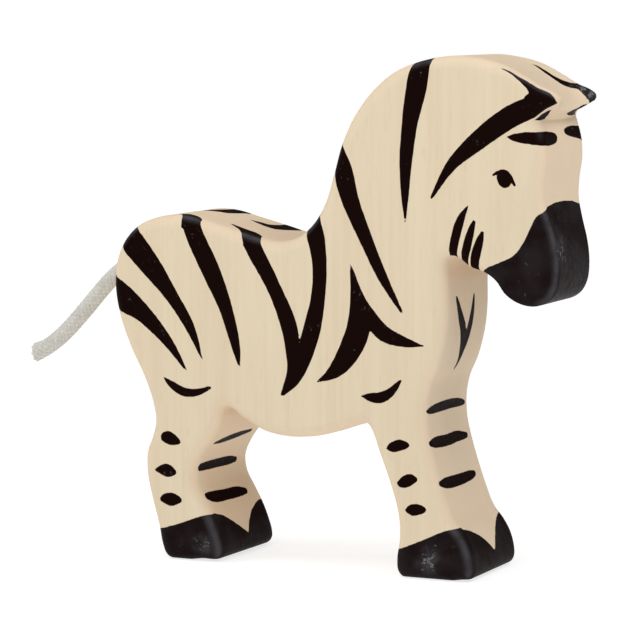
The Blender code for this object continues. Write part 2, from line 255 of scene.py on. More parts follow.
# Patches by their corners: (x, z) on the sides, rolled out as above, (x, y) on what faces up
# and (y, z) on what faces forward. A smooth curve joins the corners of a spot.
PATCHES = {
    "right ear's back": ("right side", [
        (51.6, 144.7), (53.2, 144.3), (54.6, 143.75), (56.1, 142.9), (57.6, 142.0),
        (59.2, 141.3), (60.6, 140.5), (62.1, 139.7), (63.4, 139.0), (64.8, 138.6),
        (66.2, 138.0), (67.3, 136.9), (68.1, 135.7), (68.5, 133.9), (66.0, 133.0),
        (62.0, 134.0), (59.2, 136.5), (60.5, 137.5), (59.6, 138.9), (58.6, 139.8),
        (57.4, 140.9), (56.2, 141.8), (55.0, 142.7), (53.8, 143.4), (52.6, 144.0),
    ]),
    "left ear's front": ("left side", [
        (64.2, 139.3), (65.9, 138.4), (67.2, 137.0), (68.3, 135.5), (66.0, 133.6),
        (62.0, 134.0), (59.2, 136.5), (60.5, 137.5), (62.4, 138.7),
    ]),
    "left ear's back": ("top", [
        (50.8, 10.3), (53.8, 9.2), (55.4, 8.9), (56.8, 9.1), (58.4, 9.0), (59.8, 9.1),
        (61.1, 9.7), (62.3, 10.7), (63.5, 11.9), (64.4, 12.3), (65.4, 12.0), (66.9, 11.7),
        (68.1, 11.5), (72.0, 11.6), (72.0, 19.0), (64.5, 19.0), (63.6, 16.0), (62.7, 13.9),
        (61.4, 13.0), (60.2, 12.1), (59.0, 11.5), (57.1, 10.9), (55.6, 10.9), (54.1, 10.8),
        (52.4, 11.0),
    ]),
    "left ear's tip": ("front", [
        (11.6, 137.4), (11.8, 136.2), (12.3, 135.1), (13.1, 134.2), (14.3, 133.4),
        (16.2, 132.2), (19.0, 130.8), (19.0, 137.4),
    ]),
    "under the right ear": ("front", [
        (-17.0, 130.0), (-16.5, 130.4), (-15.5, 130.8), (-14.8, 131.3), (-13.8, 132.0),
        (-13.2, 133.0), (-12.6, 133.8), (-11.5, 133.2), (-10.8, 132.5), (-10.7, 130.8),
        (-12.5, 130.3), (-14.7, 129.9),
    ]),
    "under the left ear": ("front", [
        (5.1, 133.1), (4.1, 133.4), (2.1, 134.4), (3.8, 135.0), (7.0, 135.2), (9.4, 135.5),
        (11.3, 135.2), (14.2, 130.6), (10.3, 131.3),
    ]),
    "upper hind spot": ("side", [
        (-52.9, 35.4), (-52.9, 36.5), (-52.2, 37.4), (-50.6, 37.9), (-49.0, 37.4),
        (-47.3, 36.1), (-46.5, 34.6), (-47.3, 34.1), (-49.6, 33.8), (-51.2, 34.2),
    ]),
    "middle hind spot": ("side", [
        (-55.0, 26.0), (-54.0, 27.1), (-52.7, 27.9), (-51.2, 28.2), (-49.7, 27.8),
        (-48.5, 26.8), (-47.9, 25.8), (-48.7, 24.9), (-50.7, 24.3), (-52.3, 24.7),
        (-53.6, 25.4),
    ]),
    "lower hind spot": ("side", [
        (-53.4, 17.4), (-52.7, 18.8), (-51.4, 19.5), (-49.4, 19.8), (-48.1, 19.4),
        (-46.1, 17.7), (-47.7, 16.4), (-49.9, 15.8), (-51.4, 16.3), (-52.5, 16.8),
    ]),
    "upper fore spot": ("side", [
        (18.5, 36.6), (19.1, 38.0), (20.2, 38.9), (22.6, 39.6), (24.1, 39.3), (25.5, 38.2),
        (24.2, 37.0), (22.6, 36.4), (20.8, 35.9), (19.3, 36.2),
    ]),
    "middle fore spot": ("side", [
        (21.6, 27.0), (22.4, 28.2), (23.6, 29.3), (25.4, 30.0), (26.7, 29.8), (28.0, 28.6),
        (26.6, 27.1), (24.5, 26.0), (22.6, 26.1),
    ]),
    "lower fore spot": ("side", [
        (24.2, 19.5), (24.9, 20.7), (26.0, 21.4), (27.5, 21.6), (29.1, 21.4), (30.7, 20.1),
        (29.7, 19.0), (28.1, 18.5), (26.8, 18.1), (25.4, 18.6),
    ]),
    "forehead oval": ("side", [
        (54.0, 125.3), (55.9, 126.2), (59.4, 126.8), (62.8, 126.8), (66.5, 127.4),
        (67.5, 125.5), (66.0, 123.2), (62.3, 123.2), (58.0, 123.8), (55.7, 124.4),
    ]),
    "right forehead oval": ("front", [
        (-17.5, 126.8), (-13.5, 126.9), (-8.2, 126.5), (-5.6, 126.0), (-4.7, 125.2),
        (-4.9, 124.4), (-6.2, 123.6), (-8.5, 123.1), (-12.4, 122.9), (-17.5, 123.1),
    ]),
    "left forehead oval": ("front", [
        (1.5, 126.2), (2.4, 127.0), (5.2, 127.5), (9.4, 127.7), (14.4, 127.5),
        (17.5, 127.0), (17.5, 123.1), (14.7, 123.6), (9.7, 124.3), (5.0, 124.9),
        (2.2, 125.6),
    ]),
    "saddle stripe's right end": ("top", [
        (-35.0, -8.9), (-33.0, -9.1), (-30.7, -9.9), (-28.3, -10.3), (-26.1, -10.4),
        (-24.0, -11.3), (-22.5, -12.9), (-21.4, -16.1), (-21.1, -17.3), (-20.6, -18.5),
        (-25.6, -18.5), (-26.9, -17.3), (-27.5, -16.3), (-28.7, -14.8), (-30.2, -13.0),
        (-32.3, -11.2),
    ]),
    "saddle stripe's left end": ("top", [
        (-35.3, 5.6), (-33.5, 6.1), (-31.8, 6.7), (-29.9, 6.9), (-28.7, 9.1), (-28.0, 12.5),
        (-27.6, 18.5), (-21.6, 18.5), (-22.4, 12.9), (-23.4, 9.6), (-24.5, 5.7),
        (-25.8, 2.9), (-27.8, 2.4), (-30.1, 3.0), (-32.4, 3.9),
    ]),
    "hip stripe's right end": ("top", [
        (-49.3, -13.6), (-47.6, -12.4), (-46.2, -12.0), (-43.6, -13.2), (-41.1, -14.9),
        (-40.2, -15.9), (-40.3, -16.8), (-39.8, -17.7), (-40.0, -18.5), (-45.9, -18.5),
        (-46.4, -16.4), (-47.2, -14.9),
    ]),
    "hip stripe's left end": ("top", [
        (-51.0, 5.5), (-48.5, 3.0), (-46.5, 2.2), (-43.7, 3.0), (-41.8, 3.9), (-40.7, 7.6),
        (-39.8, 11.9), (-38.9, 13.7), (-39.0, 18.5), (-45.5, 18.5), (-44.6, 15.0),
        (-45.2, 12.5), (-46.0, 10.0), (-47.6, 7.0),
    ]),
}
# The muzzle's paint starts at these lines: (x, z) on the sides, (y, z) in front
MUZZLE_SIDE = [
    (41.5, 78.0), (46.9, 88.0), (51.3, 90.3), (55.4, 92.3), (57.3, 94.3), (59.2, 97.6),
    (61.3, 102.1), (63.1, 104.3), (66.0, 106.0), (70.0, 107.0),
]
MUZZLE_BEYOND = [(80.0, 107.0), (80.0, 50.0), (41.5, 50.0)]
MUZZLE_FRONT = [
    (-17.3, 104.3), (-14.0, 106.1), (-6.1, 106.9), (1.4, 107.0), (8.6, 106.6),
    (15.7, 105.3), (17.3, 104.3),
]
MUZZLE_FROM = (44.5, 60.0)     # least x of its paint, and of its front
# The hooves' paint ends at these heights: (x, z) on the sides, (y, z) in front
FORE_HOOF_SIDE = [(20.0, 7.6), (22.0, 8.2), (26.8, 10.2), (31.9, 12.5), (36.4, 14.5), (41.0, 15.4)]
FORE_HOOF_FRONT = [
    (-14.4, 14.7), (-10.1, 13.7), (-5.7, 11.6), (-2.4, 9.2), (0.5, 6.6), (3.0, 9.8),
    (6.3, 12.2), (10.5, 14.2), (14.4, 15.2),
]
HIND_HOOF_SIDE = [
    (-56.0, 8.4), (-52.4, 9.2), (-46.7, 11.0), (-43.5, 12.2), (-40.3, 13.4), (-36.0, 14.2),
]
HIND_HOOF_FRONT = [
    (-14.4, 14.0), (-10.4, 13.0), (-7.0, 11.2), (-2.8, 8.6), (0.8, 6.2), (3.1, 9.2),
    (6.7, 11.8), (10.8, 13.4), (14.4, 14.2),
]
HOOF_REACH = 25.0          # no hoof's paint is above this
PAINT_REACH = 3.0          # the paint's depth is cut off this far from its border
NOT_HERE = -99.0           # the depth of bare wood far from any paint
FLAT_PLAY = 0.05           # how far in from the flat side a point may be and still be on it
EDGE_PLAY = 0.3            # the same for the rounded edge
EDGE_TONE = (0.0, 1.2)     # the wood's tone changes over these turns from the side, in radians
# A painted sheen lightens the paint in a band along rounded edges that face up, and on the hooves
# and the
# muzzle also where they face forward: a painted highlight of the lamps on those edges. These are
# turns from the side, in radians.
SHEEN_STARTS = (0.30, 0.62)
SHEEN_ENDS = (0.80, 1.25)
SHEEN_LATER = 0.25          # how much later it starts and ends above the hooves
SHEEN_FACES = (0.1, 0.6)    # x or z of an outward normal where it starts and where it is whole
# Smudges and specks of chalky wear: (x, y, z, radius)
SMUDGES = [
    (31.2, -18.0, 5.2, 5.6), (-39.4, -18.0, 5.0, 4.6), (66.5, -12.0, 94.5, 7.0),
    (36.0, 18.0, 8.0, 4.0), (-47.0, 18.0, 6.0, 4.5), (62.0, 16.0, 88.0, 5.0),
    (66.0, 15.0, 138.5, 8.0),
]
SMUDGE_FADE = (0.2, 1.0)   # of its radius, where a smudge starts to fade and where it ends
# The paint is dusty on the hooves, below this, and on the muzzle, to this far past its paint
HOOF_TOP = 16.0
DUST_REACH = 0.8
FACES_FORWARD = 0.35       # least x of an outward normal that front strokes go on
EAR_FACES_FORWARD = 0.15   # the same for patches, which go on under the ears
FACES_UP = 0.45            # least z of one that top patches go on
BACK_HEIGHT = 85.0         # what they are all above
STROKE_ROLLS = 7.3         # how far past the outline side strokes go on, at most
CLOSE_ROLLS = 1.5          # the same for the strokes of the cheek, as the chest is near
FRONT_EDGE = 17.2          # the least |y| where an edge that faces forward counts as side

# The camera stands where the photograph's did, in metres
CAMERA_AT = (0.35274, -0.81108, 0.16205)
CAMERA_LOOKS_AT = (-0.01147, -0.00031, 0.07210)
CAMERA_LENS = 175.2
SENSOR = 36.0


def smoothstep(start, end, value):
    share = np.clip((value - start) / (end - start), 0.0, 1.0)
    return share * share * (3.0 - 2.0 * share)


def directions(points, closed):
    """The way a smooth curve runs through each point."""
    ways = []
    last = len(points) - 1
    for i, point in enumerate(points):
        before = points[i - 1] if i > 0 or closed else point
        after = points[(i + 1) % len(points)] if i < last or closed else point
        ways.append(((point - before).normalized() + (after - point).normalized()).normalized())
    return ways


def smooth_curve(points, closed, samples=CURVE_SAMPLES):
    """Close points along a smooth curve through all the points."""
    ways = directions(points, closed)
    close = []
    for i in range(len(points) if closed else len(points) - 1):
        k = (i + 1) % len(points)
        reach = (points[k] - points[i]).length / 3
        handles = (points[i] + reach * ways[i], points[k] - reach * ways[k])
        close += interpolate_bezier(points[i], *handles, points[k], samples)[:-1]
    return close if closed else close + [points[-1]]


def is_fine(points):
    """Which points lie where the edge has finer facets."""
    return np.any([np.all((points > low) & (points < high), 1) for low, high in FINE], 0)


def thin_out(close):
    """The points of a close loop that a faceted outline needs: more of them in bends."""
    kept = []
    gone = OUTLINE_STEP
    turned = 0.0
    for before, point, after in zip(close[-1:] + close[:-1], close, close[1:] + close[:1]):
        gone += (point - before).length
        turned += abs((point - before).angle_signed(after - point, 0.0))
        step = FINE_STEP if is_fine(np.array([tuple(point)]))[0] else OUTLINE_STEP
        if gone > step or turned > OUTLINE_TURN:
            kept.append(point)
            gone = turned = 0.0
    return kept


class Outline:
    """The board's outline as a fine loop, clockwise seen from the right flank."""

    def __init__(self):
        close = smooth_curve([Vector(point) for point in OUTLINE], True)
        close = [Vector((point.x, max(point.y, 0.0))) for point in close]
        self.loop = np.array([tuple(point) for point in thin_out(close)])
        self.along = np.roll(self.loop, -1, 0) - self.loop
        across = np.roll(self.loop, -1, 0) - np.roll(self.loop, 1, 0)
        self.normals = unit(np.column_stack([-across[:, 1], across[:, 0]]))
        self.rump = self.loop[:, 0].min()
        self.middle = (self.rump + self.loop[:, 0].max()) / 2

    def nearest(self, points):
        """How far each point is from the outline, and the place and outward way there."""
        gaps, feet, ways = [], [], []
        for some in np.array_split(points, len(points) // CHUNK + 1):
            rel = some[:, None] - self.loop
            share = (rel * self.along).sum(2) / (self.along ** 2).sum(1)
            share = np.clip(share, 0.0, 1.0)[..., None]
            off = rel - share * self.along
            k = (off ** 2).sum(2).argmin(1)
            row = np.arange(len(some))
            part = share[row, k]
            gaps.append(np.linalg.norm(off[row, k], axis=1))
            feet.append(self.loop[k] + part * self.along[k])
            after = self.normals[(k + 1) % len(self.loop)]
            ways.append(unit((1.0 - part) * self.normals[k] + part * after))
        return np.concatenate(gaps), np.concatenate(feet), np.concatenate(ways)

    def contains(self, points):
        return inside(self.loop, points)


def unit(vectors):
    return vectors / np.linalg.norm(vectors, axis=1)[:, None]


def inside(corners, points):
    """Which points lie inside a closed outline."""
    found = []
    start, end = corners, np.roll(corners, -1, 0)
    rise = end[:, 1] - start[:, 1]
    rise = np.where(rise == 0.0, 1.0, rise)
    for some in np.array_split(points, len(points) // CHUNK + 1):
        height = some[:, 1:2]
        crosses = (start[:, 1] > height) != (end[:, 1] > height)
        x = start[:, 0] + (height - start[:, 1]) / rise * (end[:, 0] - start[:, 0])
        found.append((crosses & (x > some[:, 0:1])).sum(1) % 2 == 1)
    return np.concatenate(found)


def half_thickness(inset):
    """Half the board's thickness at an inset from its outline: a quarter round, then flat."""
    short = ROUND - np.minimum(inset, ROUND)
    return WALL + np.sqrt(ROUND ** 2 - short ** 2)


def ring(outline, inset):
    """Points at one inset from the outline, without those that a tip leaves no room for."""
    points = outline.loop - inset * outline.normals
    gaps = outline.nearest(points)[0]
    fits = outline.contains(points) & (gaps > inset * LEAST_ROOM)
    points = points[fits]
    apart = np.linalg.norm(points - np.roll(points, 1, 0), axis=1)
    return points[apart > CLOSEST]


def rings(outline):
    """Points over the rounded edge, with more rings of them where it is fine."""
    found = []
    for k in range(1, FINE_SEGMENTS + 1):
        points = ring(outline, ROUND * (1.0 - math.cos(math.pi / 2 * k / FINE_SEGMENTS)))
        if k % (FINE_SEGMENTS // EDGE_SEGMENTS):
            points = points[is_fine(points)]
        found.append(points)
    return found


def hex_grid(low, high, step):
    """Points of equal triangles over a box."""
    columns = int((high[0] - low[0]) / step) + 1
    rows = int((high[1] - low[1]) / (step * ROW_HEIGHT)) + 1
    i, k = np.meshgrid(np.arange(columns), np.arange(rows))
    x = low[0] + step * (i + ROW_SHIFT * (k % 2))
    z = low[1] + step * ROW_HEIGHT * k
    return np.column_stack([x.ravel(), z.ravel()])


def flat_points(outline):
    """Points spread over the flat of the side, closer together where the paint is finest."""
    low, high = outline.loop.min(0), outline.loop.max(0)
    points = hex_grid(low, high, FILL_STEP)
    for centre, reach in DETAILS:
        far = np.linalg.norm(points - centre, axis=1) > reach
        fine = hex_grid(np.array(centre) - reach, np.array(centre) + reach, DETAIL_STEP)
        near = np.linalg.norm(fine - centre, axis=1) < reach - DETAIL_STEP / 2
        points = np.concatenate([points[far], fine[near]])
    points = points[outline.contains(points)]
    return points[outline.nearest(points)[0] > ROUND + FILL_ROOM]


def plain_board(outline):
    """The board before it is shaped: the same two sides, and the edge between them."""
    flat = np.concatenate([outline.loop] + rings(outline) + [flat_points(outline)])
    count = len(outline.loop)
    border = [(i, (i + 1) % count) for i in range(count)]
    corners = [Vector(p) for p in flat]
    result = delaunay_2d_cdt(corners, border, [list(range(count))], INSIDE_ONLY, MERGE_GAP)
    flat = np.array([tuple(p) for p in result[0]])
    triangles = result[2]
    high = half_thickness(outline.nearest(flat)[0])
    high[:count] = WALL
    left = np.column_stack([flat[:, 0], high, flat[:, 1]])
    right = left * (1.0, -1.0, 1.0)
    rows = [left[:count] * (1.0, 1.0 - 2.0 * k / WALL_COLUMNS, 1.0)
            for k in range(1, WALL_COLUMNS)]
    points = np.concatenate([left, right] + rows)
    faces = [tuple(face) for face in triangles]
    faces += [tuple(i + len(flat) for i in reversed(face)) for face in triangles]
    starts = [0] + [2 * len(flat) + k * count for k in range(WALL_COLUMNS - 1)] + [len(flat)]
    for one, other in zip(starts, starts[1:]):
        faces += [(one + i, one + k, other + k, other + i) for i, k in border]
    return points, faces


def mesh_object(name, points, faces):
    data = bpy.data.meshes.new(name)
    data.from_pydata([tuple(p) for p in points], [], faces)
    mesh = bmesh.new()
    mesh.from_mesh(data)
    bmesh.ops.recalc_face_normals(mesh, faces=mesh.faces)
    mesh.to_mesh(data)
    mesh.free()
    made = bpy.data.objects.new(name, data)
    bpy.context.scene.collection.objects.link(made)
    return made


def cut_socket(board, rump):
    """The blind hole in the rump that the tail is glued into."""
    bpy.ops.mesh.primitive_cylinder_add(
        vertices=SOCKET_SIDES,
        radius=(TAIL_DIAMETER / 2 + TOUCH_GAP) / UNIT,
        depth=2 * SOCKET_DEPTH / UNIT,
        location=(rump, 0.0, SOCKET_HEIGHT),
        rotation=(0.0, math.pi / 2, 0.0),
    )
    cutter = bpy.context.object
    cut = board.modifiers.new("tail socket", "BOOLEAN")
    cut.operation = "DIFFERENCE"
    cut.solver = "EXACT"
    cut.object = cutter
    bpy.context.view_layer.update()
    drilled = bpy.data.meshes.new_from_object(
        board.evaluated_get(bpy.context.evaluated_depsgraph_get())
    )
    board.modifiers.clear()
    board.data = drilled
    bpy.data.objects.remove(cutter)


class Surface:
    """Where each point of the plain board is: on its flat, its rounded edge or its wall."""

    def __init__(self, outline, points):
        self.x, self.y, self.z = points.T
        self.plan = points[:, (0, 2)]
        gap, foot, self.way = outline.nearest(self.plan)
        size = np.abs(self.y)
        turned = np.arccos(np.clip((size - WALL) / ROUND, 0.0, 1.0))
        rolled = np.where(size > WALL, ROUND * turned, ROUND * math.pi / 2 + WALL - size)
        lift = np.clip(size - WALL, 0.0, ROUND)
        on_edge = gap < ROUND - np.sqrt(ROUND ** 2 - lift ** 2) + EDGE_PLAY
        self.flat = (gap >= ROUND) & (size > HALF - FLAT_PLAY)
        self.bare = ~(self.flat | on_edge)
        self.past = np.where(self.flat, -ROUND, rolled - ROUND)
        out = foot + (rolled - ROUND)[:, None] * self.way
        self.side = np.where(self.flat[:, None], self.plan, out)
        bent = ROUND * (math.pi / 2 - turned)
        self.across = np.sign(self.y) * np.where(size > WALL, WALL + bent, size)
        self.edge = np.where(self.flat, 0.0, smoothstep(*EDGE_TONE, turned))
        self.forward = ~self.flat & (self.way[:, 0] > FACES_FORWARD)
        self.muzzle = muzzle_field(self)
        self.dusty = (self.z < HOOF_TOP) | (self.muzzle > -DUST_REACH)
        # The painted sheen: a painted highlight in a band along rounded edges that face up, and on
        # the hooves and muzzle also where they face forward
        ahead = np.where(self.dusty, self.way[:, 0], 0.0)
        turn = turned - np.where(self.z < HOOF_TOP, 0.0, SHEEN_LATER)
        sheen_band = smoothstep(*SHEEN_STARTS, turn) * (1.0 - smoothstep(*SHEEN_ENDS, turn))
        sheen_band = sheen_band * smoothstep(*SHEEN_FACES, np.maximum(ahead, self.way[:, 1]))
        self.painted_sheen = np.where(self.flat | self.bare, 0.0, sheen_band)


def stroke_field(stroke, plan):
    """How deep each point of a plan lies inside a stroke of a round brush."""
    spine = np.array(flowing(stroke, False, STROKE_SAMPLES))
    field = np.full(len(plan), NOT_HERE)
    reach = spine[:, 2].max() + PAINT_REACH
    near = np.all((plan > spine[:, :2].min(0) - reach) & (plan < spine[:, :2].max(0) + reach), 1)
    if near.any():
        gaps = np.linalg.norm(plan[near][:, None] - spine[:, :2], axis=2)
        field[near] = (spine[:, 2] - gaps).max(1)
    return field


def patch_field(corners, plan):
    """How deep each point of a plan lies inside a patch, and less than 0 outside."""
    corners = np.array(corners)
    along = np.roll(corners, -1, 0) - corners
    rel = plan[:, None] - corners
    share = np.clip((rel * along).sum(2) / (along ** 2).sum(1), 0.0, 1.0)[..., None]
    gaps = np.linalg.norm(rel - share * along, axis=2).min(1)
    return np.where(inside(corners, plan), gaps, -gaps)


def flowing(corners, closed=False, samples=BORDER_SAMPLES):
    """Corners on a smooth curve through the given ones."""
    return [tuple(p) for p in smooth_curve([Vector(p) for p in corners], closed, samples)]


def hoof_field(surface, side_line, front_line):
    """How far below the hoof paint's upper border each point lies."""
    side_x, side_z = np.array(flowing(side_line)).T
    front_y, front_z = np.array(front_line).T
    border = np.interp(surface.x, side_x, side_z)
    in_front = np.interp(surface.across, front_y, front_z)
    ahead = surface.forward & (np.abs(surface.y) < WALL)
    return np.where(ahead, in_front, border) - surface.z


def muzzle_field(surface):
    """How far inside the muzzle's paint each point lies."""
    front_y, front_z = np.array(MUZZLE_FRONT).T
    ahead = np.interp(surface.y, front_y, front_z) - surface.z
    beside = patch_field(flowing(MUZZLE_SIDE) + MUZZLE_BEYOND, surface.plan)
    in_front = surface.forward & (surface.x > MUZZLE_FROM[1]) & (np.abs(surface.y) < FRONT_EDGE)
    field = np.where(in_front, ahead, beside)
    return np.where(surface.x > MUZZLE_FROM[0], field, NOT_HERE)


def paint_field(surface):
    """How deep in black paint each point is, and less than 0 on bare wood."""
    field = np.full(len(surface.x), NOT_HERE)
    for name, stroke in SIDE_STROKES.items():
        close = "cheek" in name
        plan = surface.plan if close else surface.side
        rolls = CLOSE_ROLLS if close else STROKE_ROLLS
        deep = np.minimum(stroke_field(stroke, plan), rolls - surface.past)
        field = np.maximum(field, deep)
    front = np.column_stack([surface.across, surface.z])
    for (low, high), stroke in FRONT_STROKES.values():
        here = surface.forward & (surface.x > low) & (surface.x < high)
        field[here] = np.maximum(field[here], stroke_field(stroke, front[here]))
    upward = ~surface.flat & (surface.way[:, 1] > FACES_UP) & (surface.z > BACK_HEIGHT)
    everywhere = np.full(len(surface.x), True)
    ahead = ~surface.flat & (surface.way[:, 0] > EAR_FACES_FORWARD)
    plans = {
        "side": (surface.side, everywhere),
        "right side": (surface.side, surface.y < 0.0),
        "left side": (surface.side, surface.y > 0.0),
        "top": (np.column_stack([surface.x, surface.y]), upward),
        "front": (front, ahead),
    }
    for name, (view, corners) in PATCHES.items():
        plan, here = plans[view]
        corners = flowing(corners, True) if "spot" in name else corners
        low, high = np.array(corners).min(0), np.array(corners).max(0)
        here = here & np.all((plan > low - PAINT_REACH) & (plan < high + PAINT_REACH), 1)
        field[here] = np.maximum(field[here], patch_field(corners, plan[here]))
    field = np.maximum(field, surface.muzzle)
    low = surface.z < HOOF_REACH
    fore = hoof_field(surface, FORE_HOOF_SIDE, FORE_HOOF_FRONT)
    hind = hoof_field(surface, HIND_HOOF_SIDE, HIND_HOOF_FRONT)
    hooves = np.where(surface.x > 0.0, fore, hind)
    field[low] = np.maximum(field, hooves)[low]
    field[surface.bare] = NOT_HERE
    return np.clip(field, -PAINT_REACH, PAINT_REACH)


def smudge_field(surface):
    """How smudged the paint is at each point, from 0 to 1."""
    points = np.column_stack([surface.x, surface.y, surface.z])
    found = np.zeros(len(points))
    for x, y, z, radius in SMUDGES:
        gap = np.linalg.norm(points - np.array((x, y, z)), axis=1)
        found = np.maximum(found, 1.0 - smoothstep(*SMUDGE_FADE, gap / radius))
    return found


def shaped(points):
    """Points of the plain board, moved for the muzzle, the forelock and the legs."""
    x, y, z = points.T
    taper = MUZZLE_TAPER * smoothstep(*TAPER_ALONG, x) * smoothstep(*TAPER_DOWN, z)
    across = np.minimum(np.abs(y) / (HALF - EAR_WIDTH), 1.0)
    hollow = (1.0 - across ** HOLLOW_POWER) * smoothstep(*HOLLOW_UP, z)
    drop = FORELOCK_DROP * hollow * smoothstep(*HOLLOW_ALONG, x)
    setback = FORELOCK_SETBACK * hollow * smoothstep(*LIP_ALONG, x)
    skew = np.where(x > 0.0, FRONT_LEG_SKEW, REAR_LEG_SKEW)
    skew = skew * (y / (2 * HALF) + 0.5) * smoothstep(*SKEW_DOWN, z)
    return np.column_stack([x - setback + skew, y * (1.0 - taper / HALF), z - drop])


def point_attribute(data, name, values):
    made = data.attributes.new(name, "FLOAT", "POINT")
    made.data.foreach_set("value", values.astype(np.float32))


def build_body(outline):
    """The painted board, which stands for the CAD's body."""
    body = mesh_object("painted_body", *plain_board(outline))
    cut_socket(body, outline.rump)
    data = body.data
    points = np.zeros(len(data.vertices) * 3)
    data.vertices.foreach_get("co", points)
    points = points.reshape(-1, 3)
    surface = Surface(outline, points)
    point_attribute(data, "paint", paint_field(surface))
    point_attribute(data, "edge", surface.edge)
    # the painted sheen along rounded edges, a painted highlight
    point_attribute(data, "painted_sheen", surface.painted_sheen)
    point_attribute(data, "smudge", smudge_field(surface))
    point_attribute(data, "dusty", surface.dusty)
    placed = shaped(points) * UNIT - (outline.middle * UNIT, 0.0, 0.0)
    low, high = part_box("body")
    placed = np.clip(placed, np.array(low), np.array(high))
    data.vertices.foreach_set("co", placed.ravel())
    data.update()
    data.shade_smooth()
    data.set_sharp_from_angle(angle=SMOOTH_ANGLE)
    return body


# The tail: eight strands wind one way round a core and eight the other way, over and under
STRANDS = 8
LAY = 0.0125                # along the cord, for one turn of a strand
STRAND_WIDTH = 0.00060      # half of it
STRAND_DEPTH = 0.00030      # half of it
STRAND_LIFT = 0.00011       # how far a strand rises and falls at its crossings
CORE_RADIUS = 0.00190
STRAND_SIDES = 8
STRAND_STEP = 0.00030
FRAY_LENGTH = 0.0022
FRAY_SPREAD = 0.00010
FRAY_SHARES = (-0.3, 1.0)   # of that spread, from one strand to another
FLARE_LENGTH = 0.0045
FLARE = 0.00030             # how far the strands open towards the cut end
CORE_FLARE = 0.00035        # how much further the core fills them at the very end
CUT_LENGTH = 0.0012
CUT_SLANT = 0.30            # the cut isn't square: its lower side is the longer one
# painted shade: the core, seen only in the gaps between strands, is drawn dark
CORE_SHADE = 0.9             # a tint of 0 is the lightest cotton, and 1 the darkest
STRAND_TINTS = (0.0, 0.6)
# painted shade: a strand is drawn darker where it dips under the others at a crossing
CROSSING_SHADE = 0.2              # how much darker a strand is halfway down at a crossing
SEED = 7


def tail_route(outline):
    """The cord's centreline, from its seat in the socket to its cut end, in metres."""
    rump = outline.rump * UNIT - outline.middle * UNIT
    height = SOCKET_HEIGHT * UNIT
    seat = Vector((rump + SOCKET_DEPTH - TOUCH_GAP, 0.0, height))
    mouth = Vector((rump, 0.0, height))
    free = [Vector((x * UNIT - outline.middle * UNIT, 0.0, z * UNIT)) for x, z in TAIL_ROUTE]
    close = np.array([tuple(p) for p in smooth_curve([seat, mouth] + free, False)])
    gone = np.concatenate([[0.0], np.cumsum(np.linalg.norm(np.diff(close, axis=0), axis=1))])
    spots = np.linspace(0.0, gone[-1], int(gone[-1] / STRAND_STEP) + 1)
    line = np.column_stack([np.interp(spots, gone, close[:, i]) for i in range(3)])
    return line, spots, mouth


def tube(centres, side, up, widths, depths):
    """Points and faces of a closed tube with elliptic rings in the given directions."""
    turns = 2 * math.pi * np.arange(STRAND_SIDES) / STRAND_SIDES
    rings = (centres[:, None] + np.cos(turns)[None, :, None] * (widths[:, None] * side)[:, None]
             + np.sin(turns)[None, :, None] * (depths[:, None] * up)[:, None])
    points = rings.reshape(-1, 3)
    faces = []
    for i in range(len(centres) - 1):
        for k in range(STRAND_SIDES):
            j = (k + 1) % STRAND_SIDES
            a, b = i * STRAND_SIDES, (i + 1) * STRAND_SIDES
            faces.append((a + k, a + j, b + j, b + k))
    faces.append(tuple(range(STRAND_SIDES))[::-1])
    faces.append(tuple(len(points) - STRAND_SIDES + k for k in range(STRAND_SIDES)))
    return points, faces


def build_tail(outline):
    """The braided cord, which stands for the CAD's tail."""
    line, spots, mouth = tail_route(outline)
    forward = unit(np.gradient(line, axis=0))
    side = np.tile((0.0, 1.0, 0.0), (len(line), 1))
    up = np.cross(forward, side)
    end = spots[-1]
    chance = random.Random(SEED)
    all_points, all_faces, all_tints_and_shades = [], [], []

    def add(points, faces, tint_and_shade):
        start = sum(len(some) for some in all_points)
        all_points.append(points)
        all_faces.extend(tuple(start + i for i in face) for face in faces)
        all_tints_and_shades.append(np.repeat(tint_and_shade, STRAND_SIDES))

    late = smoothstep(end - FLARE_LENGTH, end, spots)
    core = CORE_RADIUS + CORE_FLARE * smoothstep(end - CUT_LENGTH, end, spots) + FLARE * late
    core_tube = tube(line, side, up + CUT_SLANT * late[:, None] * forward, core, core)
    # the core is drawn dark, as painted shade in the gaps between strands
    add(*core_tube, np.full(len(spots), CORE_SHADE))
    for hand in (1.0, -1.0):
        for k in range(STRANDS):
            angle = 2 * math.pi * (k / STRANDS + hand * spots / LAY)
            loose = smoothstep(end - FRAY_LENGTH, end, spots) * FRAY_SPREAD
            loose = loose * chance.uniform(*FRAY_SHARES)
            lift = hand * STRAND_LIFT * np.cos(2 * math.pi * STRANDS * spots / LAY)
            radius = TAIL_DIAMETER / 2 - STRAND_DEPTH - STRAND_LIFT + lift + loose
            radius = radius + FLARE * late
            out = np.cos(angle)[:, None] * side + np.sin(angle)[:, None] * up
            slant = CUT_SLANT * late * radius * np.sin(angle)
            centres = line + radius[:, None] * out + slant[:, None] * forward
            run = unit(np.gradient(centres, axis=0))
            flank = unit(np.cross(run, out))
            count = len(spots) - chance.randrange(0, 2)
            parts = [row[:count] for row in (centres, flank, out)]
            widths = np.full(count, STRAND_WIDTH)
            depths = np.full(count, STRAND_DEPTH)
            # each strand's own tone, plus painted shade where it dips under the others
            tint_and_shade = chance.uniform(*STRAND_TINTS) + CROSSING_SHADE
            tint_and_shade = tint_and_shade - CROSSING_SHADE * lift[:count] / STRAND_LIFT
            add(*tube(*parts, widths, depths), tint_and_shade)
    tail = mesh_object("braided_tail", np.concatenate(all_points), all_faces)
    point_attribute(tail.data, "tint_and_shade", np.concatenate(all_tints_and_shades))
    tail.data.shade_smooth()
    tail.data.set_sharp_from_angle(angle=SMOOTH_ANGLE)
    return tail, line, mouth


